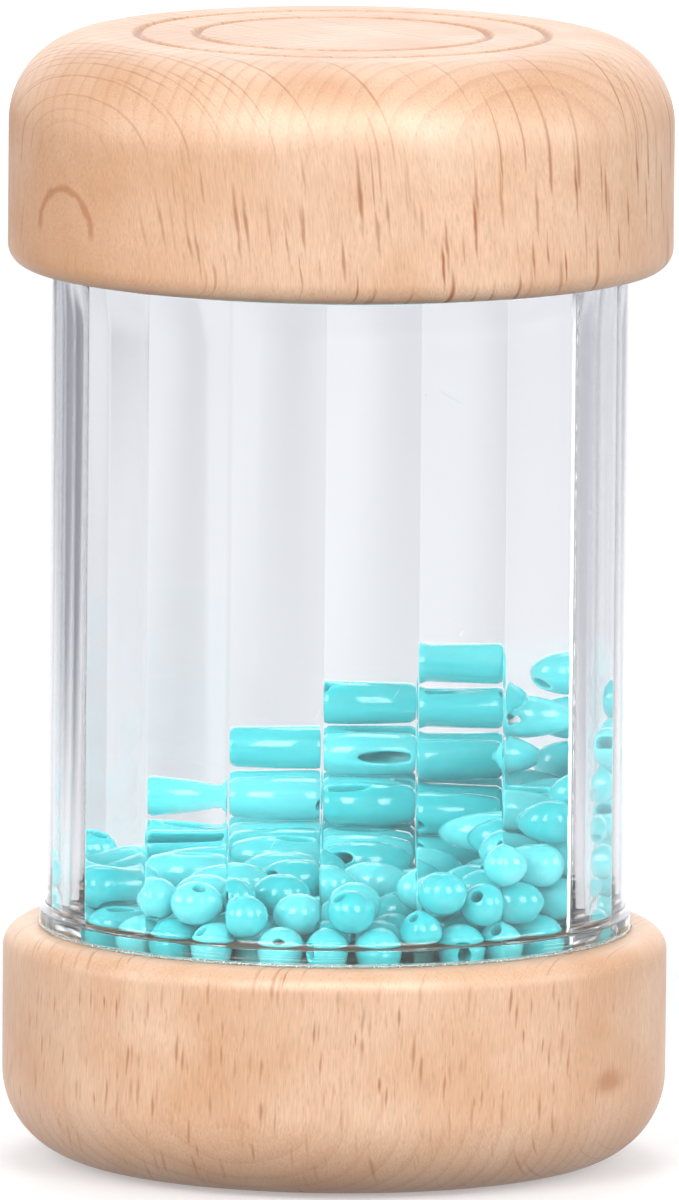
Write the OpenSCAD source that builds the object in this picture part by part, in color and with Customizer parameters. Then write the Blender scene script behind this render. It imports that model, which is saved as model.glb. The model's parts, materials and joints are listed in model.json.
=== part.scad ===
// Rain stick: a clear tube of loose beads between two turned beech caps.
// It stands on its base cap, with the origin at the centre of that cap's flat face.

/* [Caps] */
// Outer diameter of each cap
cap_d = 60; // [58:1:80]
// Height of each cap
cap_h = 21; // [16:0.5:30]
// Radius of the large round at the outer face
shoulder_round = 8; // [4:0.5:10]
// Radius of the small round next to the tube
inner_round = 2; // [0.5:0.25:3]
// Diameter of the inner of the two fine turned rings on the outer face
small_ring_d = 26.4; // [12:0.2:28]
// Diameter of the outer turned ring
large_ring_d = 37; // [32:0.2:38]
// Radius of the tool that cuts each ring
ring_tool_r = 0.5; // [0.5:0.05:0.8]
// Depth of each ring
ring_depth = 0.4; // [0.2:0.05:0.45]

/* [Tube] */
// Length of tube that shows between the caps
window_h = 60; // [50:1:120]
// Outer diameter of the tube
tube_d = 52; // [48:0.5:52]
// Wall thickness at the middle of each flat
wall_t = 2.2; // [2:0.1:3.5]
// Number of flats round the bore
flats = 18; // [14:1:24]
// Turn of the flats about the axis
bore_turn = -3; // [-7:1:7]
// How far the foot flange stands out of the tube
flange_out = 0.7; // [0.3:0.1:1]
// Height of the foot flange
flange_h = 1.3; // [0.8:0.1:2]
// Length of the spigot that goes into each cap
spigot_len = 4; // [3:0.5:6]
// Radial step from the tube's outside to its spigot
spigot_step = 0.8; // [0.5:0.1:1]

/* [Ends] */
// Thickness of the adhesive at each end of the tube
glue_t = 0.3; // [0.2:0.05:0.5]
// How far the adhesive squeezes out past the tube
glue_out = 0.2; // [0.1:0.05:0.4]
// Gap between parts that are glued together
glue_gap = 0.1; // [0.05:0.05:0.2]
// Room left at the end of each spigot
spigot_room = 0.2; // [0.1:0.05:0.5]
// Depth of each end plug's face below the cap's inner face
plug_recess = 1; // [0.5:0.25:2]

/* [Beads] */
// Bead diameter
bead_d = 4; // [3.6:0.1:4.4]
// Diameter of the hole through each bead
hole_d = 1.3; // [0.8:0.1:1.6]
// Least gap between two beads
bead_gap = 0.08; // [0.05:0.01:0.1]
// Height of the heap on its low side
heap_low = 8.2; // [5:0.1:12]
// Height of the bank against the wall, on the heap's high side
heap_high = 25; // [12:0.5:27]
// Direction that the heap rises in, from the right towards the back
heap_turn = 35; // [0:5:90]
// Start of the slope, from the axis, along that direction
slope_start = -12; // [-16:0.5:4]
// Length of the slope along that direction
slope_len = 32; // [18:0.5:40]
// Radius of the low middle that the bank stands round
dish_r = 8; // [0:0.5:14]
// Number of places that each bead tries before it settles
tries = 60; // [40:1:90]

/* [Hidden] */
$fn = 96;
eps = 0.01;
cap_r = cap_d / 2;
total_h = 2 * cap_h + window_h;

// Tube, plugs and sockets
tube_r = tube_d / 2;
bore_r = tube_r - wall_t;
flange_r = tube_r + flange_out;
spigot_r = tube_r - spigot_step;
socket_r = spigot_r + glue_gap;
socket_depth = spigot_len - glue_t + spigot_room;
tube_len = window_h - 2 * glue_t + 2 * spigot_len;
tube_z = cap_h + glue_t - spigot_len;
plug_t = socket_depth - plug_recess;
floor_z = cap_h - plug_recess;
chamber_h = total_h - 2 * floor_z;

// The beads lie in rings about the axis, from the wall inwards, so that each ring runs freely
bead_r = bead_d / 2;
hole_r = hole_d / 2;
contact_d = bead_d + bead_gap;
wall_gap = 0.1;
ring_pitch = bead_d + wall_gap;
wall_ring_r = bore_r - wall_gap - bead_r;
ring_rs = [for (r = [wall_ring_r : -ring_pitch : ring_pitch - eps]) r];
RING_NAMES = ["wall", "outer", "middle", "inner", "core"];
column_reach = 0.92;
column_sway = 0.6;
roll_steps = 14;
roll_step_arc = 0.25;
seed_step = 100;
travel_room = 0.3;

function share(value, start, length) = min(1, max(0, (value - start) / length));

// Height of the heap's surface above the bore's floor, at a place seen from above
function heap_top(x, y) =
    let (along = x * cos(heap_turn) + y * sin(heap_turn))
    let (rise = share(along, slope_start, slope_len) ^ 2)
    let (bank = share(norm([x, y]), dish_r, wall_ring_r - dish_r))
    heap_low + (heap_high - heap_low) * rise * bank;

// Columns of beads at a ring's back as [angle, height] pairs, one behind the middle of each front flat,
// which stretches them into bars
function columns(r) = [
    for (k = [0 : flats - 1])
        let (turn = 360 * (k + 0.5) / flats + bore_turn)
        let (x = bore_r * sin(turn))
        if (cos(turn) > 0 && abs(x) < column_reach * r)
            for (j = [0 : round(heap_top(x, sqrt(r ^ 2 - x ^ 2)) / contact_d) - 1])
                let (sway = rands(-column_sway, column_sway, 1, seed_step * k + j)[0])
                [180 - asin(x / r) + sway, bead_r + j * contact_d]
];

// Height at which a bead in a ring comes to rest, over the beads that are there already
function rest_h(r, angle, beads) =
    max([
        bead_r,
        for (b = beads)
            let (chord = 2 * r * abs(sin((angle - b[0]) / 2)))
            if (chord < contact_d) b[1] + sqrt(contact_d ^ 2 - chord ^ 2)
    ]);

function least(places, costs) = places[search(min(costs), costs)[0]];

// The lowest place that a bead can roll to from where it lands
function rolled(r, angle, beads) =
    let (step = roll_step_arc / r * 180 / PI)
    let (places = [
        for (k = [-roll_steps : roll_steps])
            let (t = angle + k * step)
            [t, rest_h(r, t, beads)]
    ])
    least(places, [for (p = places) p[1]]);

// The rest of a ring, dropped one by one up to the heap's surface
function settled(r, beads, turn = 0) =
    let (shift = rands(0, 360, 1, seed_step * r + turn)[0])
    let (places = [
        for (k = [0 : tries - 1])
            let (t = shift + k * 360 / tries)
            [t, rest_h(r, t, beads)]
    ])
    let (over = [
        for (p = places)
            p[1] + bead_r - heap_top(r * sin(p[0]), -r * cos(p[0]))
    ])
    min(over) > 0
        ? beads
        : settled(r, concat(beads, [rolled(r, least(places, over)[0], beads)]), turn + 1);

function layer_of(height) = round((height - bead_r) / contact_d);
function layers_in(beads) = max([for (b = beads) layer_of(b[1])]) + 1;
function free_run(top) = chamber_h - top - travel_room;
function bead_node(ring, layer) = str(RING_NAMES[ring], "_beads_layer_", layer + 1);

rings = [for (r = ring_rs) settled(r, columns(r))];
centre_count = floor((heap_top(0, 0) + bead_gap) / contact_d);
centre_top = centre_count * contact_d - bead_gap;

FIXED_NODES = [
    "base_cap", "top_cap", "tube", "base_plug", "top_plug", "base_glue_ring", "top_glue_ring"
];
BEAD_NODES = [
    for (i = [0 : len(rings) - 1])
        for (j = [0 : layers_in(rings[i]) - 1])
            bead_node(i, j)
];

// How many beads each ring holds, and how far it can run before it meets the far plug
for (i = [0 : len(rings) - 1]) {
    top = max([for (b = rings[i]) b[1]]) + bead_r;
    echo(ring = RING_NAMES[i], beads = len(rings[i]), top = top, free_run = free_run(top));
}
echo(ring = "centre", beads = centre_count, top = centre_top, free_run = free_run(centre_top));

// A piece made for the base, turned over to the same place at the top
module at_top() {
    translate([0, 0, total_h]) mirror([0, 0, 1]) children();
}

// Half section of a cap, with its outer face at the bottom and its socket at the top
module cap_section() {
    difference() {
        union() {
            square([cap_r - shoulder_round, cap_h]);
            translate([0, shoulder_round])
                square([cap_r, cap_h - shoulder_round - inner_round]);
            translate([cap_r - shoulder_round, shoulder_round])
                circle(shoulder_round);
            translate([0, shoulder_round])
                square([cap_r - inner_round, cap_h - shoulder_round]);
            translate([cap_r - inner_round, cap_h - inner_round])
                circle(inner_round);
        }
        translate([-eps, cap_h - socket_depth])
            square([socket_r + eps, socket_depth + eps]);
        for (d = [small_ring_d, large_ring_d])
            translate([d / 2, ring_depth - ring_tool_r])
                circle(ring_tool_r);
    }
}

module cap() {
    color("burlywood") rotate_extrude() cap_section();
}

// Outline of the bore, or of a plug that fits it, with a corner near the front
module bore_outline(inset = 0) {
    corner_r = (bore_r - inset) / cos(180 / flats);
    polygon([
        for (k = [0 : flats - 1])
            let (t = 360 * k / flats + bore_turn - 90)
            corner_r * [cos(t), sin(t)]
    ]);
}

// Half section of the foot: the flange on the base cap, and the hollow round above it
module foot_section() {
    translate([0, spigot_len]) {
        square([flange_r, flange_h]);
        translate([0, flange_h])
            difference() {
                square([flange_r, flange_out]);
                translate([flange_r, flange_out]) circle(flange_out);
            }
    }
}

module tube_section() {
    square([spigot_r, tube_len]);
    translate([0, spigot_len])
        square([tube_r, tube_len - 2 * spigot_len]);
    foot_section();
}

module tube() {
    color("aliceblue", 0.4)
        translate([0, 0, tube_z])
            difference() {
                rotate_extrude() tube_section();
                translate([0, 0, -eps])
                    linear_extrude(tube_len + 2 * eps) bore_outline();
            }
}

module plug() {
    color("aliceblue", 0.6)
        translate([0, 0, cap_h - socket_depth])
            linear_extrude(plug_t) bore_outline(glue_gap);
}

// The adhesive between a cap and the end of the tube, which has the given radius there
module glue_ring(end_r) {
    color("ivory")
        rotate_extrude()
            translate([socket_r, cap_h])
                square([end_r + glue_out - socket_r, glue_t]);
}

// A round bead with a hole through it, along Z
module bead() {
    rotate_extrude()
        difference() {
            circle(bead_r);
            translate([-bead_r, -bead_r])
                square([bead_r + hole_r, bead_d]);
        }
}

// A bead turned every which way, as it fell
module tumbled_bead(seed) {
    turns = rands(0, 360, 2, seed);
    rotate([turns[0], 0, turns[1]]) bead();
}

module bead_layer(ring, layer) {
    beads = rings[ring];
    color("mediumturquoise")
        for (i = [0 : len(beads) - 1])
            if (layer_of(beads[i][1]) == layer)
                translate([0, 0, floor_z + beads[i][1]])
                    rotate(beads[i][0] - 90)
                        translate([ring_rs[ring], 0])
                            tumbled_bead(seed_step * ring + i);
}

module centre_beads() {
    color("mediumturquoise")
        for (i = [0 : centre_count - 1])
            translate([0, 0, floor_z + bead_r + i * contact_d])
                tumbled_bead(i);
}

cap();  // base_cap
at_top() cap();  // top_cap
tube();
plug();  // base_plug
at_top() plug();  // top_plug
glue_ring(flange_r);  // base_glue_ring
at_top() glue_ring(tube_r);  // top_glue_ring
for (i = [0 : len(rings) - 1])
    for (j = [0 : layers_in(rings[i]) - 1])
        bead_layer(i, j);
centre_beads();
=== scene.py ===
"""Rain stick: a clear moulded tube of loose turquoise beads between two turned beech caps.

Sizes are in millimetres and become metres where a mesh is made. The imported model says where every
piece is, and each class below builds and dresses one sub-assembly of it.
"""

import json
import logging
import random
from dataclasses import dataclass, field
from enum import Enum
from math import acos, atan2, cos, degrees, exp, hypot, pi, radians, sin, sqrt, tau

import bpy
import numpy as np
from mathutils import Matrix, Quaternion, Vector


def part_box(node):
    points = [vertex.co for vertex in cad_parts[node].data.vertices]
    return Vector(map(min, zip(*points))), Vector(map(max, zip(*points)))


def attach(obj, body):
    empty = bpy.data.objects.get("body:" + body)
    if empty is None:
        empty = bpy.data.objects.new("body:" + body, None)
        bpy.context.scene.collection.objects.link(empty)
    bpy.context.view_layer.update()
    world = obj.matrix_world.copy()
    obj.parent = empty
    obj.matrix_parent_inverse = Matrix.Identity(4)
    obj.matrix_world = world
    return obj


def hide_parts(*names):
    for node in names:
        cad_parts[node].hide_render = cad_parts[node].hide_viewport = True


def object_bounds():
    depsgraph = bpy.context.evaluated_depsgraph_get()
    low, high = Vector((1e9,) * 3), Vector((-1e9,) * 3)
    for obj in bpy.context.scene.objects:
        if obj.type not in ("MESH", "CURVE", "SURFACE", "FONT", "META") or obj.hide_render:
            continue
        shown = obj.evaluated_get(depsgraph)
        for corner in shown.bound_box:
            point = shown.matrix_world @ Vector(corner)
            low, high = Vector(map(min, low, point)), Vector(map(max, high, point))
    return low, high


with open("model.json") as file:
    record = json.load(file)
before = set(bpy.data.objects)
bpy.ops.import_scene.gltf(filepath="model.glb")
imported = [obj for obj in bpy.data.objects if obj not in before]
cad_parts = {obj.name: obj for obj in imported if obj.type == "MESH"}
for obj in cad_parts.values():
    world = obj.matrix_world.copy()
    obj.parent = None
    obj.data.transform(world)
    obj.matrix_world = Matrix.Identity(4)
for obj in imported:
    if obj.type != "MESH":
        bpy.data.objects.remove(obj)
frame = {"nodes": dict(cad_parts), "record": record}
CAD_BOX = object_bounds()

LOG = logging.getLogger("rain_stick")
MM = 0.001
PER_MM = 1000.0
TOTAL_H = (CAD_BOX[1].z - CAD_BOX[0].z) * PER_MM
NODE_BODY = {node: body for body, nodes in frame["record"]["behaviour"]["bodies"].items() for node in nodes}

Tree = bpy.types.NodeTree
Socket = bpy.types.NodeSocket
Material = bpy.types.Material
Piece = bpy.types.Object
Point = tuple[float, float, float]
Pair = tuple[float, float]
Section = list[Pair]
Faces = list[tuple[int, ...]]
Shape = tuple[list[Point], Faces]
Rgba = tuple[float, float, float, float]


class End(Enum):
    """The two ends of the rain stick."""

    BASE = "base"
    TOP = "top"

    def height(self, z: float) -> float:
        """Takes a height measured for the base to the same place at this end."""
        return z if self is End.BASE else TOTAL_H - z


class Slot(Enum):
    """The part's material slots."""

    BEECH = "beech"
    ACRYLIC = "clear_acrylic"
    GLUE = "clear_glue"
    BEAD = "turquoise_bead"


class Ray(Enum):
    """The kinds of light path that a lamp can be kept out of."""

    DIFFUSE = "visible_diffuse"
    GLOSSY = "visible_glossy"
    TRANSMISSION = "visible_transmission"


def linear(hex_colour: str) -> Rgba:
    """Turns an sRGB colour, as "#rrggbb", into linear red, green and blue with an alpha of one."""
    channels = [int(hex_colour[i:i + 2], 16) / 255 for i in (1, 3, 5)]
    return (*[c / 12.92 if c <= 0.04045 else ((c + 0.055) / 1.055) ** 2.4 for c in channels], 1.0)


def add_node(kind: str, inputs: dict | None = None, tree: Tree | None = None, **settings) -> bpy.types.Node:
    """Adds a node with its settings, and sets or links its inputs.

    Args:
        kind: the node's type, after its prefix.
        inputs: a value or an output socket for each input, by name or index.
        tree: the node tree to add to, if no input is a socket that says so.
        **settings: the node's own properties.

    Returns:
        The new node.
    """
    inputs = inputs or {}
    if tree is None:
        tree = next(value.id_data for value in inputs.values() if isinstance(value, Socket))
    node = tree.nodes.new(f"ShaderNode{kind}")
    for name, value in settings.items():
        setattr(node, name, value)
    for key, value in inputs.items():
        if isinstance(value, Socket):
            tree.links.new(value, node.inputs[key])
        else:
            node.inputs[key].default_value = value
    return node


def ramp(value: Socket, span: tuple = (0.0, 1.0), to: tuple = (0.0, 1.0), smooth: bool = False) -> Socket:
    """Takes a value from one span to another, and holds it at the ends.

    Args:
        value: the value.
        span: where it starts and where it stops, each a number or a socket.
        to: what it becomes there.
        smooth: whether it eases in and out.

    Returns:
        The new value.
    """
    ends = dict(zip(("From Min", "From Max", "To Min", "To Max"), (*span, *to)))
    easing = "SMOOTHSTEP" if smooth else "LINEAR"
    return add_node("MapRange", {"Value": value, **ends}, interpolation_type=easing).outputs[0]


def maths(operation: str, *values: Socket | float) -> Socket:
    """Adds one sum, and gives its result."""
    return add_node("Math", dict(enumerate(values)), operation=operation).outputs[0]


def vectors(operation: str, *values: Socket | Point) -> Socket:
    """Adds one sum of vectors, and gives its result."""
    node = add_node("VectorMath", dict(enumerate(values)), operation=operation)
    return node.outputs["Value" if operation == "LENGTH" else 0]


def blend(share: Socket | float, first: Socket | Rgba, second: Socket | Rgba, how: str = "MIX") -> Socket:
    """Blends a share of the second colour into the first, and gives the colour."""
    inputs = {0: share, 6: first, 7: second}
    return add_node("Mix", inputs, data_type="RGBA", blend_type=how).outputs[2]


def noise(spot: Socket, scale: float, detail: float) -> Socket:
    """Adds soft noise, and gives its level."""
    return add_node("TexNoise", {"Vector": spot, "Scale": scale, "Detail": detail}).outputs[0]


def split(spot: Socket) -> tuple[Socket, Socket, Socket]:
    """Takes a vector apart."""
    return tuple(add_node("SeparateXYZ", {0: spot}).outputs)


def joined(x: Socket, y: Socket, z: Socket | float = 0.0) -> Socket:
    """Puts a vector together."""
    return add_node("CombineXYZ", {0: x, 1: y, 2: z}).outputs[0]


def stepped(spot: Socket, steps: Point) -> Socket:
    """Measures a place in steps of a given size along each axis."""
    return vectors("MULTIPLY", spot, tuple(1 / step for step in steps))


def bump(height: Socket, strength: float, depth_mm: float) -> Socket:
    """Turns a height between nought and one into a bumpy surface."""
    return add_node("Bump", {"Strength": strength, "Distance": depth_mm * MM, "Height": height}).outputs[0]


def new_material(name: str) -> tuple[Material, Socket]:
    """Makes a material with an empty node tree.

    Args:
        name: the material's name.

    Returns:
        The material, and the place on its surface in metres.
    """
    material = bpy.data.materials.new(name)
    material.use_nodes = True
    tree = material.node_tree
    tree.nodes.clear()
    return material, add_node("TexCoord", tree=tree).outputs["Object"]


def surface(inputs: dict, **others: Socket) -> None:
    """Ends a material with its surface shader and any other outputs, such as Volume."""
    shader = add_node("BsdfPrincipled", inputs)
    add_node("OutputMaterial", {"Surface": shader.outputs[0], **others})


def arc(centre: Pair, radius: float, start: float, stop: float, steps: int) -> Section:
    """Points along an arc from one angle to another, in degrees, with so many straight steps between."""
    angles = [radians(start + (stop - start) * i / steps) for i in range(steps + 1)]
    return [(centre[0] + radius * cos(a), centre[1] + radius * sin(a)) for a in angles]


def turned(section: Section, segments: int, closed: bool = False) -> Shape:
    """Turns a half section about the Z axis.

    Args:
        section: points as (radius, height), in order. A point on the axis becomes one vertex.
        segments: how many steps go round.
        closed: whether the last point joins the first, as on a ring.

    Returns:
        The vertices and faces.
    """
    points: list[Point] = []
    rows: list[list[int]] = []
    for r, z in section:
        count = 1 if r == 0 else segments
        rows.append([len(points) + (k if count > 1 else 0) for k in range(segments)])
        for k in range(count):
            turn = tau * k / segments
            points.append((r * cos(turn), r * sin(turn), z))
    faces: Faces = []
    pairs = list(zip(rows, rows[1:])) + ([(rows[-1], rows[0])] if closed else [])
    for low, high in pairs:
        for k in range(segments):
            n = (k + 1) % segments
            corners = (low[k], low[n], high[n], high[k])
            faces.append(tuple(dict.fromkeys(corners)))
    return points, faces


def merged(shapes: list[Shape]) -> Shape:
    """Puts several shapes into one.

    Args:
        shapes: the shapes.

    Returns:
        All their vertices and faces.
    """
    points: list[Point] = []
    faces: Faces = []
    for own_points, own_faces in shapes:
        start = len(points)
        points += own_points
        faces += [tuple(start + i for i in face) for face in own_faces]
    return points, faces


def make_piece(name: str, shape: Shape, sharp_deg: float) -> Piece:
    """Makes a smooth-shaded mesh object from millimetre points.

    Args:
        name: the piece's name.
        shape: its vertices, in millimetres, and its faces.
        sharp_deg: edges that turn by more than this stay sharp.

    Returns:
        The new object, linked to the scene.
    """
    points, faces = shape
    mesh = bpy.data.meshes.new(name)
    mesh.from_pydata((np.array(points) * MM).tolist(), [], faces)
    mesh.shade_smooth()
    mesh.set_sharp_from_angle(angle=radians(sharp_deg))
    piece = bpy.data.objects.new(name, mesh)
    bpy.context.scene.collection.objects.link(piece)
    return piece


def seat(piece: Piece, node: str, finish: Material) -> Piece:
    """Dresses a piece and puts it in a node's place, on that node's body.

    Args:
        piece: the piece.
        node: the node that it stands for.
        finish: its material.

    Returns:
        The same piece.
    """
    piece.data.materials.append(finish)
    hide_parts(node)
    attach(piece, NODE_BODY[node])
    LOG.info("%s stands for %s on %s: %d faces", piece.name, node, NODE_BODY[node], len(piece.data.polygons))
    return piece


@dataclass(frozen=True)
class Fleck:
    """One large flake of ray on a cap's side: an arch, or a patch when the arch has no radius."""

    turn_deg: float
    height_mm: float
    arch_mm: float
    line_mm: float
    squash: float = 1.0
    waver_mm: float = 0.9
    strength: float = 0.6

    def mask(self, spot: Socket, cap_mm: float) -> Socket:
        """How much of the flake there is at each place.

        Args:
            spot: metres in the part's own frame.
            cap_mm: the cap's radius.

        Returns:
            The flake's share.
        """
        turn = radians(self.turn_deg - 90)
        middle = (cap_mm * MM * cos(turn), cap_mm * MM * sin(turn), self.height_mm * MM)
        off = vectors("SUBTRACT", spot, middle)
        off = vectors("MULTIPLY", off, (PER_MM, PER_MM, PER_MM * self.squash))
        waver = noise(off, 0.8, 2.0)
        away = maths("MULTIPLY_ADD", waver, self.waver_mm, vectors("LENGTH", off))
        gap = maths("ABSOLUTE", maths("SUBTRACT", away, self.arch_mm + self.waver_mm / 2))
        line = ramp(gap, (self.line_mm, 0.2 * self.line_mm), (0.0, self.strength), smooth=True)
        foot = 0.0 if self.arch_mm else -2 * self.line_mm
        upper = ramp(split(off)[2], (foot - 0.3, foot + 0.7))
        return maths("MULTIPLY", line, upper)


@dataclass(frozen=True)
class TurnedBeech:
    """Steamed beech, turned along the grain, sanded fine and oiled.

    The eye gets a pale pinkish wood with a soft sheen. Broad rays show as short brown spindles where the
    surface lies along the growth rings, as flakes where it lies across them, and as long arcs where the
    large round cuts them at a slant. Growth rings hardly show on the sides, and a little more on the rounds.
    """

    name: str
    ray_turn_deg: float
    grain_lean_deg: Pair
    seed_mm: float
    outer_face_z: float
    middle_z: float
    groove_rs: Pair
    flecks: tuple[Fleck, ...]
    silk_share: float
    ray_share: float
    pale: str = "#edc7a9"
    warm: str = "#dcaa84"
    silk: str = "#d59a6c"
    fleck: str = "#b9744a"
    latewood: str = "#c98f72"
    ray: str = "#ac6c43"
    pore: str = "#ad7a5b"
    groove: str = "#c48c6a"
    # Just past the cap's own radius, so that every place on it has an arcsine
    cap_mm: float = 30.5
    cloud_mm: float = 9.0
    cloud_span: Pair = (0.3, 0.75)
    pith_mm: float = 70.0
    wander_mm: float = 22.0
    drift_mm: float = 5.0
    ring_gap_mm: float = 1.7
    ring_reach_mm: float = 11.0
    ring_share: Pair = (0.36, 0.07)
    late_from: float = 0.55
    ray_gap_mm: float = 0.85
    ray_step_mm: float = 11.0
    ray_depth_mm: float = 9.0
    ray_size: Pair = (0.2, 0.42)
    ray_core: float = 0.05
    ray_sway: float = 0.2
    ray_from: float = -0.8
    ray_runs: Pair = (0.36, 0.5)
    ray_flat: float = 0.1
    ray_end: float = 0.6
    round_mm: float = 9.0
    round_stretch: float = 0.25
    flake_mm: Pair = (28.0, 42.0)
    fibre_mm: float = 0.13
    fibre_len_mm: float = 1.6
    fibre_span: Pair = (0.25, 0.75)
    fibre_shade: Pair = (0.86, 1.12)
    pore_gap_mm: float = 0.5
    pore_step_mm: float = 1.7
    pore_size: Pair = (0.28, 0.08)
    pore_share: float = 0.22
    groove_w_mm: float = 0.5
    groove_share: float = 0.85
    roughness: float = 0.42

    def build(self) -> Material:
        """Makes the material.

        Returns:
            The beech for one cap.
        """
        material, spot = new_material(self.name)
        lean_x, lean_y = (radians(a) for a in self.grain_lean_deg)
        # Millimetres across the rays, along them from the pith, and along the grain
        grain = add_node("Mapping", {
            "Vector": vectors("SUBTRACT", spot, (0, 0, self.middle_z * MM)),
            "Location": (0, self.pith_mm, self.seed_mm),
            "Rotation": (lean_x, lean_y, radians(self.ray_turn_deg)),
            "Scale": (PER_MM, PER_MM, PER_MM),
        }).outputs[0]
        x, y, z = split(grain)
        reach = vectors("LENGTH", joined(x, y))
        # Measured round the cap, so that the rays are as thin at the sides as in front
        angle = maths("ARCSINE", maths("DIVIDE", x, self.cap_mm))
        across = maths("MULTIPLY", angle, self.cap_mm)
        wander = noise(grain, 1 / self.wander_mm, 2.0)
        drift = maths("MULTIPLY_ADD", wander, self.drift_mm, reach)
        along = joined(across, z, drift)
        off = maths("SUBTRACT", split(spot)[2], self.outer_face_z * MM)
        inward = maths("ABSOLUTE", off)
        flake = ramp(maths("ABSOLUTE", across), self.flake_mm)

        tone = self.tone(grain, flake)
        tone = self.rings(drift, inward, tone)
        tone, fibre = self.fibres(along, tone)
        tone, dents = self.rays(self.over_round(along, inward), flake, inward, tone)
        for fleck in self.flecks:
            tone = blend(fleck.mask(spot, self.cap_mm), tone, linear(self.fleck))
        tone = self.grooves(spot, tone)

        relief = maths("SUBTRACT", fibre, dents)
        normal = bump(relief, strength=0.35, depth_mm=0.03)
        rough = ramp(fibre, to=(self.roughness - 0.05, self.roughness + 0.07))
        surface({"Base Color": tone, "Roughness": rough, "IOR": 1.5, "Normal": normal})
        return material

    def tone(self, spot: Socket, flake: Socket) -> Socket:
        """The broad drift between paler and warmer wood, with a silky warmth where rays lie in the surface.

        Args:
            spot: millimetres in the wood.
            flake: how far the rays lie in the surface.

        Returns:
            The colour.
        """
        cloud = ramp(noise(spot, 1 / self.cloud_mm, 3.0), self.cloud_span)
        tone = blend(cloud, linear(self.pale), linear(self.warm))
        return blend(maths("MULTIPLY", flake, self.silk_share), tone, linear(self.silk))

    def rings(self, reach: Socket, inward: Socket, tone: Socket) -> Socket:
        """Growth rings: each darkens slowly outwards, then stops at a thin line, mostly near the end grain.

        Args:
            reach: millimetres from the pith.
            inward: metres from the cap's outer face.
            tone: the colour so far.

        Returns:
            The colour with the rings.
        """
        part = maths("FRACT", maths("DIVIDE", reach, self.ring_gap_mm))
        late = ramp(part, (self.late_from, 1.0), smooth=True)
        strength = ramp(inward, (0.0, self.ring_reach_mm * MM), self.ring_share, smooth=True)
        return blend(maths("MULTIPLY", late, strength), tone, linear(self.latewood))

    def fibres(self, along: Socket, tone: Socket) -> tuple[Socket, Socket]:
        """Fine fibres, with short pores among them. Both are drawn a little coarser than they are, to show.

        Args:
            along: millimetres across the rays, along the grain and from the pith.
            tone: the colour so far.

        Returns:
            The colour with the fibres, and their height.
        """
        threads = stepped(along, (self.fibre_mm, self.fibre_len_mm, self.fibre_mm))
        fibre = noise(threads, 1.0, 3.0)
        shade = ramp(fibre, self.fibre_span, self.fibre_shade)
        tone = blend(1.0, tone, shade, "MULTIPLY")
        cells = stepped(along, (self.pore_gap_mm, self.pore_step_mm, self.pore_gap_mm))
        pores = add_node("TexVoronoi", {"Vector": cells, "Scale": 1.0})
        mask = ramp(pores.outputs["Distance"], self.pore_size, (0.0, self.pore_share), smooth=True)
        return blend(mask, tone, linear(self.pore)), fibre

    def over_round(self, along: Socket, inward: Socket) -> Socket:
        """Stretches the rays over the large round, which cuts them at a slant, so that they run on as arcs.

        Args:
            along: millimetres across the rays, along the grain and from the pith.
            inward: metres from the cap's outer face.

        Returns:
            The same place, with less height on the round.
        """
        across, height, reach = split(along)
        less = self.round_mm * (1 - self.round_stretch)
        left = ramp(inward, (0.0, self.round_mm * MM), (less, 0.0))
        if self.outer_face_z > 0:
            left = maths("MULTIPLY", left, -1.0)
        return joined(across, maths("ADD", height, left), reach)

    def rays(self, along: Socket, flake: Socket, inward: Socket, tone: Socket) -> tuple[Socket, Socket]:
        """Broad rays: thin sheets from the pith outwards, each a few millimetres high.

        Args:
            along: millimetres across the rays, along the grain and from the pith.
            flake: how far the rays lie in the surface, where they hardly show.
            inward: metres from the cap's outer face, where they show as faint lines.
            tone: the colour so far.

        Returns:
            The colour with the rays, and how far each is sunk.
        """
        cells = stepped(along, (self.ray_gap_mm, self.ray_step_mm, self.ray_depth_mm))
        sway = ramp(noise(along, 0.4, 1.0), to=(-self.ray_sway, self.ray_sway))
        sheets = add_node("TexVoronoi", {
            "Vector": vectors("ADD", cells, sway), "Scale": 1.0, "Exponent": 1.4},
            voronoi_dimensions="2D", distance="MINKOWSKI").outputs
        chance = add_node("SeparateColor", {0: sheets["Color"]}).outputs
        size = ramp(chance[1], to=self.ray_size)
        share = ramp(sheets["Distance"], (size, self.ray_core), smooth=True)
        depth = ramp(chance[0], (self.ray_from, 1.0))
        # Each sheet comes and goes on its way out from the pith
        runs = ramp(noise(cells, 0.9, 1.0), self.ray_runs, smooth=True)
        flat = ramp(flake, to=(1.0, self.ray_flat))
        end = ramp(inward, (0.0, self.round_mm * MM), (self.ray_end * self.ray_share, self.ray_share))
        for factor in (depth, runs, flat, end):
            share = maths("MULTIPLY", share, factor)
        return blend(share, tone, linear(self.ray)), share

    def grooves(self, spot: Socket, tone: Socket) -> Socket:
        """The two turned rings, darker in their grooves.

        Args:
            spot: metres in the part's own frame.
            tone: the colour so far.

        Returns:
            The colour with the rings.
        """
        x, y, z = split(spot)
        radius = vectors("LENGTH", joined(x, y))
        near = maths("COMPARE", z, self.outer_face_z * MM, MM)
        width = self.groove_w_mm * MM
        for groove_r in self.groove_rs:
            away = maths("ABSOLUTE", maths("SUBTRACT", radius, groove_r * MM))
            mask = ramp(away, (width, 0.2 * width), (0.0, self.groove_share), smooth=True)
            tone = blend(maths("MULTIPLY", mask, near), tone, linear(self.groove))
        return tone


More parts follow.
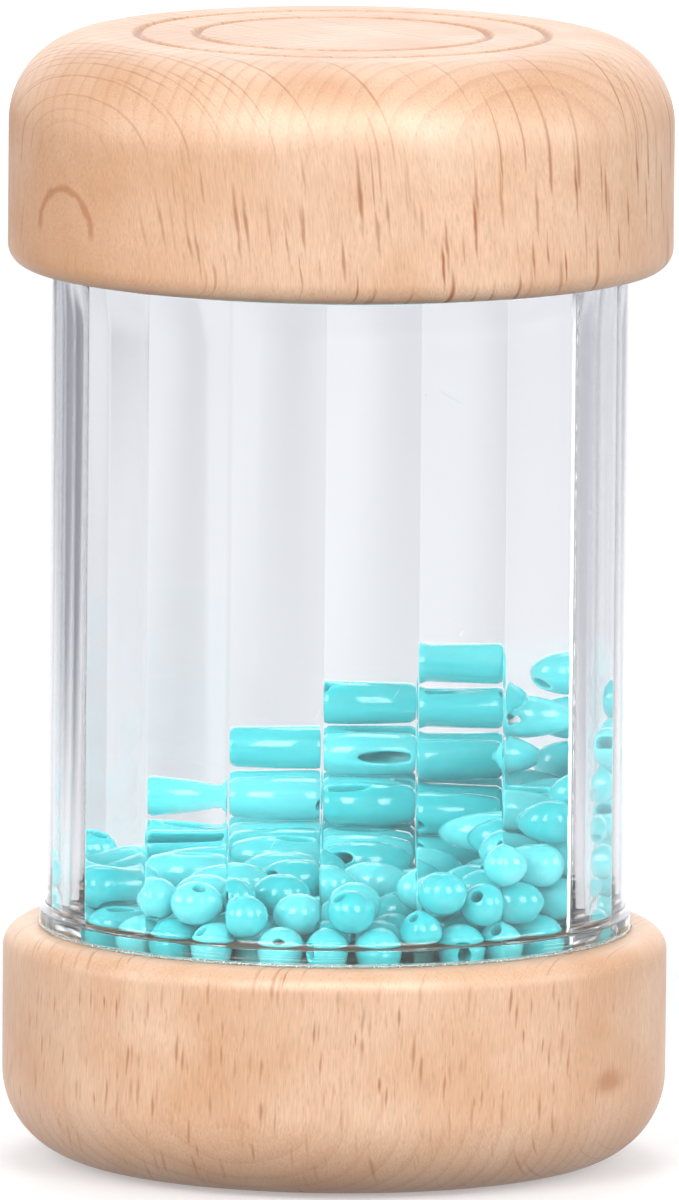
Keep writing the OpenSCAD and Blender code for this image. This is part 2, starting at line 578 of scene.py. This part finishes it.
@dataclass(frozen=True)
class MouldedAcrylic:
    """Clear acrylic, injection moulded and polished.

    The eye gets a glass-clear wall with a faint cool cast, sharp reflections, a few scuffs, and soft greys
    at its sides, where light goes a long way through the wall.
    """

    name: str = "clear_acrylic_moulded"
    tint: str = "#f8f9fa"
    ior: float = 1.49
    clear: float = 0.992
    mark_gap_mm: float = 9.0
    mark_w_mm: float = 0.5
    scuff_span: Pair = (0.72, 0.78)
    roughness: Pair = (0.015, 0.2)
    depth_tone: str = "#85868f"
    depth_per_m: float = 15.0

    def build(self) -> Material:
        """Makes the material.

        Returns:
            The clear acrylic.
        """
        material, spot = new_material(self.name)
        gap, width = self.mark_gap_mm * MM, self.mark_w_mm * MM
        marks = noise(stepped(spot, (gap, gap, width)), 1.0, 2.0)
        scuffs = ramp(marks, self.scuff_span, self.roughness, smooth=True)
        depth = add_node("VolumeAbsorption", {
            "Color": linear(self.depth_tone), "Density": self.depth_per_m}, spot.id_data)
        surface({"Base Color": linear(self.tint), "Roughness": scuffs, "IOR": self.ior,
                 "Transmission Weight": self.clear}, Volume=depth.outputs[0])
        return material


@dataclass(frozen=True)
class FrostedAcrylic:
    """Acrylic with a matt surface, where the mould's halves met or where it has been scratched.

    The eye gets thin white lines.
    """

    name: str = "clear_acrylic_frosted"
    colour: str = "#fbfcff"
    grit_mm: float = 0.15

    def build(self) -> Material:
        """Makes the material.

        Returns:
            The frosted acrylic.
        """
        material, spot = new_material(self.name)
        grit = noise(spot, PER_MM / self.grit_mm, 2.0)
        normal = bump(grit, strength=0.4, depth_mm=0.03)
        surface({"Base Color": linear(self.colour), "Roughness": ramp(grit, to=(0.35, 0.75)),
                 "IOR": 1.49, "Transmission Weight": 0.15, "Normal": normal})
        return material


@dataclass(frozen=True)
class SqueezedGlue:
    """Clear acrylic cement that squeezed out and set.

    The eye gets a thin glassy bead, cloudy in places with trapped bubbles.
    """

    name: str = "clear_cement_squeezed"
    clear: str = "#f2f2ee"
    cloudy: str = "#ffffff"
    bubble_mm: float = 0.35
    bubble_size: Pair = (0.35, 0.15)

    def build(self) -> Material:
        """Makes the material.

        Returns:
            The set cement.
        """
        material, spot = new_material(self.name)
        cells = add_node("TexVoronoi", {"Vector": spot, "Scale": PER_MM / self.bubble_mm})
        bubbles = ramp(cells.outputs["Distance"], self.bubble_size, smooth=True)
        tone = blend(bubbles, linear(self.clear), linear(self.cloudy))
        normal = bump(bubbles, strength=0.5, depth_mm=0.05)
        surface({"Base Color": tone, "Roughness": ramp(bubbles, to=(0.08, 0.5)), "IOR": 1.48,
                 "Transmission Weight": 0.8, "Normal": normal})
        return material


@dataclass(frozen=True)
class TumbledBead:
    """Pigmented acrylic, moulded and tumbled to a gloss.

    The eye gets a milky turquoise that glows a little at its edges, with small sharp highlights.
    """

    name: str = "turquoise_acrylic_tumbled"
    deep: str = "#24bdc2"
    milky: str = "#69d8dc"
    cloud_mm: float = 1.6
    cloud_share: float = 0.6
    tone_span: Pair = (0.2, 1.2)
    glow_mm: float = 1.2
    roughness: float = 0.08

    def build(self) -> Material:
        """Makes the material.

        Returns:
            The bead's acrylic.
        """
        material, spot = new_material(self.name)
        own = add_node("Attribute", tree=spot.id_data, attribute_name=BeadHeap.TONE)
        cloud = noise(spot, PER_MM / self.cloud_mm, 2.0)
        level = maths("MULTIPLY_ADD", cloud, self.cloud_share, own.outputs["Fac"])
        share = ramp(level, self.tone_span)
        tone = blend(share, linear(self.deep), linear(self.milky))
        rough = ramp(cloud, to=(self.roughness - 0.04, self.roughness + 0.04))
        surface({"Base Color": tone, "Roughness": rough, "IOR": 1.5, "Subsurface Weight": 0.85,
                 "Subsurface Radius": (0.35, 1.0, 1.0), "Subsurface Scale": self.glow_mm * MM,
                 "Coat Weight": 0.7, "Coat Roughness": 0.05, "Coat IOR": 1.55})
        return material


@dataclass(frozen=True)
class PaintedLightFloor:
    """A pale matt floor with painted light and shade on it, the light given as a glow. The eye gets a pale
    ground.

    Places on it are in metres.
    """

    name: str = "matt_floor_painted_light_and_shade"
    colour: str = "#e2e2e4"
    # Painted shade at the ground's sides, darker on the left than on the right
    left: str = "#92929a"
    right: str = "#d0d0d6"
    middle: Pair = (-0.05, 0.05)
    side_shade_span: Pair = (0.12, 0.25)
    front: Pair = (-0.16, -0.08)
    near: Pair = (0.06, 0.13)
    behind: Pair = (0.06, 0.14)
    beyond: Pair = (0.64, 0.76)
    near_painted_light: float = 0.42
    far_painted_light: float = 0.32
    painted_shadow_level: float = 0.32
    painted_shadow_width: float = 0.05
    backdrop_painted_light: float = 0.6
    front_painted_shade: float = 0.7

    def build(self) -> Material:
        """Makes the material.

        Returns:
            The floor, with its painted light and shade.
        """
        material, spot = new_material(self.name)
        x, y, _ = split(spot)
        away = maths("ABSOLUTE", x)
        # Painted shade: the ground greys away from its middle, darker on the left than on the right
        edge = ramp(away, self.side_shade_span, smooth=True)
        side = blend(ramp(x, self.middle), linear(self.left), linear(self.right))
        tone = blend(edge, linear(self.colour), side)
        # Painted shade: the ground in front of the object is darker
        tone = blend(1.0, tone, ramp(y, self.front, (self.front_painted_shade, 1.0)), "MULTIPLY")
        # Painted light round the object's foot, which pales its contact shadow
        near = ramp(vectors("LENGTH", spot), self.near, (self.near_painted_light, 0.0))
        # A painted shadow on the ground behind, darker along its middle: the object stands between the lamps
        # and the ground behind it
        shade = (self.far_painted_light * self.painted_shadow_level, self.far_painted_light)
        far = ramp(away, (0.0, self.painted_shadow_width), shade, smooth=True)
        painted_light = add_node("Mix", {0: ramp(y, self.behind), 2: near, 3: far}).outputs[0]
        # Painted light far behind, where the ground turns white
        beyond = ramp(y, self.beyond)
        painted_light = add_node("Mix", {0: beyond, 2: painted_light, 3: self.backdrop_painted_light}).outputs[0]
        # The painted light goes in as emission, though the floor is no lamp, and it fades out where the sides
        # are shaded
        level = maths("MULTIPLY", painted_light, maths("SUBTRACT", 1.0, edge))
        surface({"Base Color": tone, "Roughness": 0.9, "IOR": 1.3,
                 "Emission Color": linear(self.colour), "Emission Strength": level})
        return material


@dataclass
class EndPiece:
    """A piece that both ends of the rain stick have."""

    KIND = ""
    end: End

    @property
    def node(self) -> str:
        """The CAD node that this piece stands for."""
        return f"{self.end.value}_{self.KIND}"


@dataclass
class TurnedCap(EndPiece):
    """One beech cap: a large round at its outer face, two fine turned rings there, and a socket inside."""

    KIND = "cap"
    finish: TurnedBeech
    shoulder_round: float = 8.0
    inner_round: float = 2.0
    groove_tool_r: float = 0.5
    groove_depth: float = 0.4
    lip_round: float = 0.12
    socket_r: float = 25.3
    socket_depth: float = 3.9
    socket_ease: float = 0.2
    segments: int = 256

    def groove_section(self, r: float) -> Section:
        """One turned ring in the outer face, with softened lips.

        Args:
            r: the ring's radius.

        Returns:
            Its points, from the inside outwards.
        """
        sink = self.groove_depth - self.groove_tool_r
        half = degrees(acos(-sink / self.groove_tool_r))
        cut = arc((r, sink), self.groove_tool_r, 90 + half, 90 - half, 10)
        lip = self.lip_round
        return [(cut[0][0] - 2 * lip, 0.0), (cut[0][0] - lip / 2, lip / 8), *cut[1:-1],
                (cut[-1][0] + lip / 2, lip / 8), (cut[-1][0] + 2 * lip, 0.0)]

    def section(self) -> Section:
        """The cap's half section, outer face down.

        Returns:
            Its points, from the axis at the outer face round to the axis in the socket.
        """
        low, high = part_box(self.node)
        cap_r = min(high.x, -low.x) * PER_MM
        cap_h = (high.z - low.z) * PER_MM
        points: Section = [(r, 0.0) for r in (0.0, 4.0, 8.0)]
        for r in self.finish.groove_rs:
            points += self.groove_section(r)
        side_low, side_high = self.shoulder_round, cap_h - self.inner_round
        points += arc((cap_r - self.shoulder_round, side_low), self.shoulder_round, -90, 0, 28)
        points += [(cap_r, side_low + (side_high - side_low) * i / 6) for i in range(1, 6)]
        points += arc((cap_r - self.inner_round, side_high), self.inner_round, 0, 90, 12)
        floor = cap_h - self.socket_depth
        points += [(self.socket_r + self.socket_ease, cap_h), (self.socket_r, cap_h - self.socket_ease)]
        return points + [(self.socket_r, floor), (self.socket_r / 2, floor), (0.0, floor)]

    def build(self) -> Piece:
        """Builds and dresses the cap.

        Returns:
            The cap.
        """
        section = [(r, self.end.height(z)) for r, z in self.section()]
        if self.end is End.BASE:
            section.reverse()
        piece = make_piece(f"turned_{self.node}", turned(section, self.segments), sharp_deg=50)
        return seat(piece, self.node, self.finish.build())


@dataclass
class ClearTube:
    """The moulded tube: round outside, flats in its bore, a flange at its foot and a spigot at each end."""

    acrylic: Material
    tube_r: float = 26.0
    bore_r: float = 23.8
    flats: int = 18
    corner_round: float = 1.0
    corner_steps: int = 4
    flat_steps: int = 16
    corner_turn_deg: float = -3.0
    flange_out: float = 0.7
    flange_h: float = 1.3
    spigot_step: float = 0.8
    spigot_len: float = 4.0
    edge_round: float = 0.15
    wall_rows: int = 14

    def bore_outline(self) -> Section:
        """The bore's outline, from the front corner round to the right.

        Returns:
            Its points as (x, y), with each corner's arc first and then the flat after it.
        """
        half = pi / self.flats
        bend = degrees(half)
        centre_r = (self.bore_r - self.corner_round) / cos(half)
        corners: list[Section] = []
        for k in range(self.flats):
            turn = radians(self.corner_turn_deg - 90) + 2 * half * k
            centre = (centre_r * cos(turn), centre_r * sin(turn))
            ends = (degrees(turn) - bend, degrees(turn) + bend)
            corners.append(arc(centre, self.corner_round, *ends, self.corner_steps))
        points: Section = []
        n = self.flat_steps
        for corner, after in zip(corners, corners[1:] + corners[:1]):
            (x, y), (end_x, end_y) = corner[-1], after[0]
            points += corner
            points += [(x + (end_x - x) * i / n, y + (end_y - y) * i / n) for i in range(1, n)]
        return points

    def foot_section(self) -> Section:
        """The outside of the foot: flange, and the hollow round above it.

        Returns:
            Its points as (radius, height), from the bottom up.
        """
        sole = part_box("tube")[0].z * PER_MM + self.spigot_len
        flange_r = self.tube_r + self.flange_out
        top = sole + self.flange_h
        edge = self.edge_round
        points = arc((flange_r - edge, sole + edge), edge, -90, 0, 4)
        points += arc((flange_r - edge, top - edge), edge, 0, 90, 4)
        points += arc((flange_r, top + self.flange_out), self.flange_out, 258, 180, 10)
        return points

    def build(self) -> Piece:
        """Builds and dresses the tube.

        Returns:
            The tube.
        """
        low, high = (corner.z * PER_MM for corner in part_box("tube"))
        spigot_r = self.tube_r - self.spigot_step
        foot = self.foot_section()
        start, stop = foot[-1][1], high - self.spigot_len - self.edge_round
        wall = [(self.tube_r, start + (stop - start) * i / self.wall_rows) for i in range(1, self.wall_rows)]
        rim = arc((self.tube_r - self.edge_round, stop), self.edge_round, 0, 90, 4)
        outside = [(spigot_r, low), (spigot_r, low + self.spigot_len), *foot, *wall, *rim,
                   (spigot_r, high - self.spigot_len), (spigot_r, high)]
        inside = [high - (high - low) * i / self.wall_rows for i in range(self.wall_rows + 1)]
        outline = self.bore_outline()
        points = []
        for x, y in outline:
            turn = atan2(y, x)
            points += [(r * cos(turn), r * sin(turn), z) for r, z in outside]
            points += [(x, y, z) for z in inside]
        rows = len(outside) + len(inside)
        count = len(outline)
        faces = [(k * rows + j, (k + 1) % count * rows + j, (k + 1) % count * rows + (j + 1) % rows,
                  k * rows + (j + 1) % rows)
                 for k in range(count) for j in range(rows)]
        piece = make_piece("moulded_tube", (points, faces), sharp_deg=40)
        # The light that falls on the beads comes straight through the clear wall
        piece.visible_shadow = False
        return seat(piece, "tube", self.acrylic)


@dataclass
class TubeMarks:
    """What mould and hands left on the tube: a parting line up one corner of the bore, and scratches."""

    tube: ClearTube
    frosted: Material
    seam_corner: int = 3
    seam_w: float = 0.75
    seam_low: float = 21.5
    seam_high: float = 80.8
    seam_steps: int = 90
    seam_sway: float = 0.001
    knot_at: float = 0.97
    knot_size: float = 0.8
    knot_len: float = 0.012
    scratches: int = 90
    scratch_len: Pair = (0.15, 1.6)
    scratch_w: Pair = (0.012, 0.03)
    scratch_lean_deg: float = 35.0
    scratch_steps: int = 3
    lift: float = 0.015
    seed: int = 3

    def ribbon(self, centre: list[Point], widths: list[float]) -> Shape:
        """A thin upright ribbon along a line on the tube.

        Args:
            centre: the line's points as (radius, angle in radians, height).
            widths: the ribbon's width at each point.

        Returns:
            Its vertices and faces.
        """
        points = []
        for (r, turn, z), width in zip(centre, widths):
            for side in (-0.5, 0.5):
                a = turn + side * width / r
                points.append((r * cos(a), r * sin(a), z))
        return points, [(2 * i, 2 * i + 1, 2 * i + 3, 2 * i + 2) for i in range(len(centre) - 1)]

    def seam(self, draw: random.Random) -> Shape:
        """The parting line, a little uneven, with a knot at its top.

        Args:
            draw: the random draw.

        Returns:
            Its vertices and faces.
        """
        tube = self.tube
        corner_r = (tube.bore_r - tube.corner_round) / cos(pi / tube.flats) + tube.corner_round
        turn = radians(tube.corner_turn_deg - 90) + tau * self.seam_corner / tube.flats
        centre, widths = [], []
        for i in range(self.seam_steps + 1):
            share = i / self.seam_steps
            knot = 1 + self.knot_size * exp(-((share - self.knot_at) / self.knot_len) ** 2)
            centre.append((corner_r - 3 * self.lift, turn + draw.uniform(-self.seam_sway, self.seam_sway),
                           self.seam_low + (self.seam_high - self.seam_low) * share))
            widths.append(self.seam_w * knot * draw.uniform(0.85, 1.15))
        return self.ribbon(centre, widths)

    def scratch(self, draw: random.Random) -> Shape:
        """One fine scratch on the outside of the tube.

        Args:
            draw: the random draw.

        Returns:
            Its vertices and faces.
        """
        r = self.tube.tube_r + self.lift
        turn = draw.uniform(0, tau)
        middle = draw.uniform(self.seam_low + 5, self.seam_high - 4)
        length, width = draw.uniform(*self.scratch_len), draw.uniform(*self.scratch_w)
        lean = radians(draw.gauss(0, self.scratch_lean_deg))
        steps = self.scratch_steps
        offsets = [length * (i / steps - 0.5) for i in range(steps + 1)]
        centre = [(r, turn + s * sin(lean) / r, middle + s * cos(lean)) for s in offsets]
        return self.ribbon(centre, [width * (1 - 1.8 * abs(s) / length) for s in offsets])

    def build(self) -> Piece:
        """Builds and dresses the marks.

        Returns:
            The marks.
        """
        draw = random.Random(self.seed)
        shapes = [self.seam(draw), *(self.scratch(draw) for _ in range(self.scratches))]
        piece = make_piece("tube_parting_line_and_scratches", merged(shapes), sharp_deg=180)
        piece.data.materials.append(self.frosted)
        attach(piece, NODE_BODY["tube"])
        LOG.info("%s lie on the tube: %d faces", piece.name, len(piece.data.polygons))
        return piece


@dataclass
class EndPlug(EndPiece):
    """A clear plug that closes one end of the bore, with eased edges."""

    KIND = "plug"
    acrylic: Material
    flats: int = 18
    flat_r: float = 23.7
    corner_turn_deg: float = -3.0
    edge: float = 0.25

    def build(self) -> Piece:
        """Builds and dresses the plug.

        Returns:
            The plug.
        """
        bottom, top = (corner.z * PER_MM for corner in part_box(self.node))
        corner_r = self.flat_r / cos(pi / self.flats)
        levels = [(corner_r - self.edge, bottom), (corner_r, bottom + self.edge),
                  (corner_r, top - self.edge), (corner_r - self.edge, top)]
        n = self.flats
        turns = [radians(self.corner_turn_deg - 90) + tau * k / n for k in range(n)]
        points = [(r * cos(turn), r * sin(turn), z) for r, z in levels for turn in turns]
        faces: Faces = [tuple(reversed(range(n))), tuple(3 * n + k for k in range(n))]
        faces += [(j * n + k, j * n + (k + 1) % n, (j + 1) * n + (k + 1) % n, (j + 1) * n + k)
                  for j in range(3) for k in range(n)]
        piece = make_piece(f"{self.end.value}_end_plug", (points, faces), sharp_deg=15)
        return seat(piece, self.node, self.acrylic)


@dataclass
class GlueRing(EndPiece):
    """The cement at one end of the tube: an uneven bead that squeezed out, with blisters along it."""

    KIND = "glue_ring"
    cement: Material
    inner_r: float = 25.4
    wave: float = 0.14
    waves: int = 9
    blisters: int = 90
    blister_r: Pair = (0.05, 0.13)
    segments: int = 300
    film: float = 0.01

    def build(self) -> Piece:
        """Builds and dresses the ring.

        Returns:
            The ring.
        """
        draw = random.Random(self.node)
        low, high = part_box(self.node)
        outer_r = high.x * PER_MM
        bottom, top = low.z * PER_MM + self.film, high.z * PER_MM - self.film
        middle, half = (bottom + top) / 2, (top - bottom) / 2
        waves = [(draw.randint(5, 60), draw.uniform(0, tau), draw.uniform(0.3, 1.0))
                 for _ in range(self.waves)]
        total = sum(w[2] for w in waves)
        lip = arc((outer_r - half, middle), half, -90, 90, 8)
        loop = [(self.inner_r, bottom), *lip, (self.inner_r, top)]
        points, faces = turned(loop, self.segments, closed=True)
        shaped = []
        for x, y, z in points:
            turn, r = atan2(y, x), hypot(x, y)
            swell = sum(a * (1 + sin(n * turn + p)) / 2 for n, p, a in waves) / total
            share = (r - self.inner_r) / (outer_r - self.inner_r)
            r -= self.wave * share * swell * 2
            shaped.append((r * cos(turn), r * sin(turn), z))
        shapes = [(shaped, faces)]
        for _ in range(self.blisters):
            size = draw.uniform(*self.blister_r)
            turn = draw.uniform(0, tau)
            r = outer_r - size - draw.uniform(0, self.wave)
            z = draw.uniform(bottom + size, top - size)
            ball, skin = turned([(0.0, -size), *arc((0, 0), size, -60, 60, 4), (0.0, size)], 8)
            shapes.append(([(r * cos(turn) + x, r * sin(turn) + y, z + dz) for x, y, dz in ball], skin))
        piece = make_piece(f"{self.end.value}_glue_bead", merged(shapes), sharp_deg=60)
        return seat(piece, self.node, self.cement)


@dataclass
class BeadHeap:
    """The loose beads, one piece for each layer of each ring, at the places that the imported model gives."""

    TONE = "bead_tone"
    WELL_INSIDE = 0.8
    acrylic: Material
    hole_r: float = 0.55
    rim_round: float = 0.15
    ball_steps: int = 14
    rim_steps: int = 4
    segments: int = 26
    spread: float = 0.015
    seed: int = 7
    weld: float = 1e-6
    draw: random.Random = field(init=False)

    def __post_init__(self) -> None:
        """Seeds the draw."""
        self.draw = random.Random(self.seed)

    def bead_section(self, radius: float) -> Section:
        """Half section of a bead about its hole, with rounded rims.

        Args:
            radius: the bead's radius.

        Returns:
            A closed loop of points.
        """
        rim_r = self.hole_r + self.rim_round
        rim_z = sqrt((radius - self.rim_round) ** 2 - rim_r ** 2)
        lean = degrees(atan2(rim_z, rim_r))
        ball = arc((0, 0), radius, -lean, lean, self.ball_steps)
        upper = arc((rim_r, rim_z), self.rim_round, lean, 180, self.rim_steps)[1:]
        lower = [(r, -z) for r, z in reversed(upper)]
        return ball + upper + [(self.hole_r, 0.0)] + lower

    def places(self, node: str) -> list[tuple[np.ndarray, np.ndarray, float]]:
        """Finds the beads in a node.

        Args:
            node: the node's name.

        Returns:
            Each bead's centre and hole direction, and its radius, in millimetres.
        """
        mesh = frame["nodes"][node].data
        mesh.calc_loop_triangles()
        welded: dict[tuple[int, ...], int] = {}
        keys = (tuple(round(c / self.weld) for c in v.co) for v in mesh.vertices)
        ids = [welded.setdefault(key, len(welded)) for key in keys]
        spots = np.array(list(welded)) * self.weld * PER_MM
        triangles = np.array([[ids[v] for v in t.vertices] for t in mesh.loop_triangles])
        # Each vertex takes the lowest number next to it, until every bead has one number of its own
        lead = np.arange(len(welded))
        low = lead[triangles].min(1, keepdims=True)
        while (lead[triangles] != low).any():
            np.minimum.at(lead, triangles, low)
            low = lead[triangles].min(1, keepdims=True)
        groups = [triangles[low[:, 0] == first] for first in np.unique(low)]
        return sorted((self.fitted(spots, group) for group in groups), key=lambda bead: tuple(bead[0]))

    @staticmethod
    def fitted(spots: np.ndarray, group: np.ndarray) -> tuple[np.ndarray, np.ndarray, float]:
        """Fits a ball to one bead's vertices, and finds its hole from the faces that lie well inside it.

        Args:
            spots: every vertex of the node, in millimetres.
            group: the bead's triangles, as vertex numbers.

        Returns:
            The bead's centre, its hole's direction and its radius.
        """
        own = spots[np.unique(group)]
        fit = np.c_[2 * own, np.ones(len(own))]
        solved = np.linalg.lstsq(fit, (own ** 2).sum(1), rcond=None)[0]
        centre = solved[:3]
        radius = sqrt(solved[3] + centre @ centre)
        deep = np.linalg.norm(spots[group].mean(1) - centre, axis=1) < BeadHeap.WELL_INSIDE * radius
        rim = spots[np.unique(group[deep])] - centre
        return centre, np.linalg.eigh(rim.T @ rim)[1][:, -1], radius

    def build_layer(self, node: str) -> Piece:
        """Builds and dresses the beads of one node.

        Args:
            node: the node's name.

        Returns:
            The piece.
        """
        shapes: list[Shape] = []
        tones: list[float] = []
        for centre, axis, radius in self.places(node):
            own_r = radius * (1 - self.draw.uniform(0, self.spread))
            points, faces = turned(self.bead_section(own_r), self.segments, closed=True)
            spin = np.array(Vector((0, 0, 1)).rotation_difference(Vector(axis)).to_matrix())
            shapes.append(((np.array(points) @ spin.T + centre).tolist(), faces))
            tones += [self.draw.random()] * len(points)
        piece = make_piece(f"loose_{node}", merged(shapes), sharp_deg=180)
        attribute = piece.data.attributes.new(self.TONE, "FLOAT", "POINT")
        attribute.data.foreach_set("value", tones)
        return seat(piece, node, self.acrylic)

    def build(self) -> list[Piece]:
        """Builds every layer of beads, and gives the pieces."""
        return [self.build_layer(node) for node in sorted(frame["nodes"]) if "beads" in node]


@dataclass(frozen=True)
class Softbox:
    """One soft lamp, placed round what it faces. Distances and sizes are in metres."""

    name: str
    turn_deg: float
    rise_deg: float
    away: float
    size: Pair
    watts: float
    aim: Point = (0.0, 0.0, 0.05)
    kept_from: tuple[Ray, ...] = ()

    def hang(self) -> None:
        """Hangs the lamp."""
        data = bpy.data.lights.new(self.name, "AREA")
        data.shape = "RECTANGLE"
        data.size, data.size_y = self.size
        data.energy = self.watts
        lamp = bpy.data.objects.new(self.name, data)
        bpy.context.scene.collection.objects.link(lamp)
        turn, rise = radians(self.turn_deg), radians(self.rise_deg)
        out = Vector((cos(rise) * sin(turn), -cos(rise) * cos(turn), sin(rise)))
        lamp.location = Vector(self.aim) + out * self.away
        lamp.rotation_mode = "QUATERNION"
        lamp.rotation_quaternion = (-out).to_track_quat("-Z", "Y")
        for ray in self.kept_from:
            setattr(lamp, ray.value, False)


@dataclass
class Studio:
    """Pale floor, soft light and a camera where the photograph was taken from."""

    distance: float = 2307.5
    elevation_deg: float = 7.79
    roll_deg: float = 0.49
    aim_right: float = 0.158
    aim_up: float = -0.41
    frame_h: float = 108.28
    sensor: float = 36.0
    floor_side: float = 12000.0
    floor_drop: float = 0.2
    sky: str = "#fafbfd"
    sky_behind: Pair = (0.7, 0.95)
    sky_levels: Pair = (0.35, 2.1)
    sky_low: Pair = (-0.3, 0.0)
    sky_low_levels: Pair = (0.4, 1.0)
    softboxes: tuple[Softbox, ...] = (
        Softbox("softbox_front_left", -28, 25, 1.5, (0.6, 0.8), 9.6),
        Softbox("softbox_front_right", 30, 22, 1.5, (0.6, 0.8), 8.4),
        Softbox("softbox_left", -80, 16, 1.5, (0.7, 0.6), 6.9),
        Softbox("softbox_right", 80, 16, 1.5, (0.7, 0.6), 7.6),
        Softbox("softbox_above", 0, 80, 1.2, (0.6, 0.6), 0.2),
        # A low strip stands in for the light that a pale ground throws up
        Softbox("softbox_low", 0, 4, 1.2, (1.4, 0.12), 2.1, kept_from=(Ray.GLOSSY, Ray.TRANSMISSION)),
        # This one is only there for the sheen on the top cap's round
        Softbox("softbox_sheen", 0, 46, 1.5, (2.0, 0.7), 34.0, kept_from=(Ray.DIFFUSE, Ray.TRANSMISSION)),
        Softbox("softbox_behind", 0, 90, 0.9, (0.5, 0.5), 3.2, aim=(0.0, 0.6, 0.0)),
    )

    def camera(self) -> None:
        """Makes the camera."""
        data = bpy.data.cameras.new("camera")
        data.sensor_width = self.sensor
        data.lens = self.sensor * self.distance / self.frame_h
        data.clip_start = 0.1
        data.clip_end = 50.0
        camera = bpy.data.objects.new("camera", data)
        bpy.context.scene.collection.objects.link(camera)
        rise = radians(self.elevation_deg)
        back = Vector((0, -cos(rise), sin(rise)))
        up = Vector((0, sin(rise), cos(rise)))
        centre = (CAD_BOX[0] + CAD_BOX[1]) / 2
        aim = centre + Vector((self.aim_right * MM, 0, 0)) + up * self.aim_up * MM
        camera.location = aim + back * self.distance * MM
        camera.rotation_mode = "QUATERNION"
        roll = Quaternion((0, 0, 1), radians(self.roll_deg))
        camera.rotation_quaternion = (-back).to_track_quat("-Z", "Y") @ roll
        bpy.context.scene.camera = camera

    def floor(self) -> None:
        """Lays the floor."""
        half, z = self.floor_side / 2, -self.floor_drop
        corners = [(-half, -half, z), (half, -half, z), (half, half, z), (-half, half, z)]
        floor = make_piece("floor", (corners, [(0, 1, 2, 3)]), sharp_deg=30)
        floor.data.materials.append(PaintedLightFloor().build())
        # The object's own underside stays dark, as over a ground that its shadow covers
        floor.visible_diffuse = False

    def backdrop(self) -> None:
        """Puts a pale room round the object, brightest behind it."""
        world = bpy.data.worlds.new("studio")
        bpy.context.scene.world = world
        world.use_nodes = True
        tree = world.node_tree
        tree.nodes.clear()
        _, y, z = split(add_node("TexCoord", tree=tree).outputs["Generated"])
        behind = ramp(y, self.sky_behind, self.sky_levels)
        level = maths("MULTIPLY", behind, ramp(z, self.sky_low, self.sky_low_levels))
        seen = add_node("LightPath", tree=tree).outputs["Is Camera Ray"]
        strength = maths("MAXIMUM", level, seen)
        sky = add_node("Background", {"Color": linear(self.sky), "Strength": strength})
        add_node("OutputWorld", {"Surface": sky.outputs[0]})

    def build(self) -> None:
        """Sets the whole studio up."""
        self.camera()
        self.floor()
        self.backdrop()
        for softbox in self.softboxes:
            softbox.hang()
        scene = bpy.context.scene
        scene.view_settings.view_transform = "Standard"
        # Light goes round inside the clear wall many times before it leaves
        scene.cycles.max_bounces = 32
        scene.cycles.glossy_bounces = 24
        scene.cycles.transmission_bounces = 32
        LOG.info("studio is set up with %d softboxes", len(self.softboxes))


def main() -> None:
    """Builds the rain stick and its studio."""
    logging.basicConfig(level=logging.INFO, format="%(name)s: %(message)s")
    Studio().build()
    groove_rs = (13.2, 18.5)
    middle = 10.5
    base_beech = TurnedBeech(
        "beech_turned_base", ray_turn_deg=18.0, grain_lean_deg=(0.0, -2.0), seed_mm=40.0,
        outer_face_z=0.0, middle_z=middle, groove_rs=groove_rs,
        flecks=(Fleck(turn_deg=55.5, height_mm=9.5, arch_mm=0.0, line_mm=3.4, squash=2.0),),
        silk_share=0.12, ray_share=0.75, ray_gap_mm=0.75, ray_step_mm=5.5, round_stretch=1.0, ray_from=0.05)
    top_beech = TurnedBeech(
        "beech_turned_top", ray_turn_deg=-36.0, grain_lean_deg=(0.0, 6.0), seed_mm=0.0,
        outer_face_z=TOTAL_H, middle_z=TOTAL_H - middle, groove_rs=groove_rs,
        flecks=(Fleck(turn_deg=-56.0, height_mm=85.5, arch_mm=4.3, line_mm=0.55),),
        silk_share=0.45, ray_share=1.0)
    TurnedCap(End.BASE, base_beech).build()
    TurnedCap(End.TOP, top_beech).build()
    acrylic = MouldedAcrylic().build()
    tube = ClearTube(acrylic)
    tube.build()
    TubeMarks(tube, FrostedAcrylic().build()).build()
    cement = SqueezedGlue().build()
    for end in End:
        EndPlug(end, acrylic).build()
        GlueRing(end, cement).build()
    BeadHeap(TumbledBead().build()).build()


if __name__ == "__main__":
    main()
